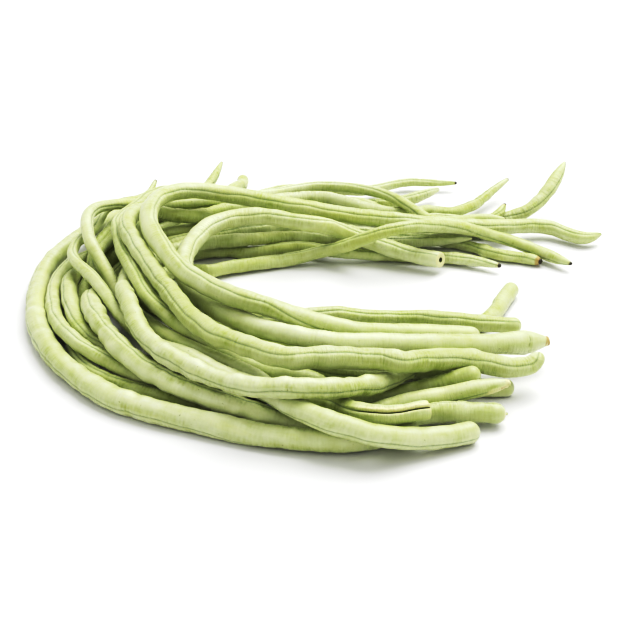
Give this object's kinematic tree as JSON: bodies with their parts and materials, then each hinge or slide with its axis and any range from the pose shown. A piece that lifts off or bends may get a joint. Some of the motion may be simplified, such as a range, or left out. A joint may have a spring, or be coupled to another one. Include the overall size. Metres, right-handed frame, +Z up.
{
  "type": "yardlong bean bunch",
  "caption": "Loose bunch of very long, slim green bean pods, bent round together in an open C and lying on a table, with stalk ends on one arm and tips on the other.",
  "frame": {"origin": "on the table, under the middle of the bunch's bounding box", "axes": "+Z up; the arms of the C lie along +X and its bend is at -X; the arm with the stalk ends is at -Y and the arm with the tips at +Y"},
  "size_m": [0.3186, 0.3114, 0.0458],
  "materials": {
    "pod_skin": "satin, a natural pod skin"
  },
  "bodies": {
    "root": {"pod_top": "pod_skin", "pod_pale": "pod_skin", "pod_curled": "pod_skin", "pod_slim_left": "pod_skin", "pod_arch": "pod_skin", "pod_thin": "pod_skin", "pod_seamed": "pod_skin", "pod_knobbly": "pod_skin", "pod_split": "pod_skin", "pod_raised_tip": "pod_skin", "pod_outer": "pod_skin", "pod_shaded": "pod_skin", "pod_inner": "pod_skin", "pod_back_end": "pod_skin", "pod_deep": "pod_skin", "pod_middle": "pod_skin", "pod_under": "pod_skin"}
  },
  "joints": []
}
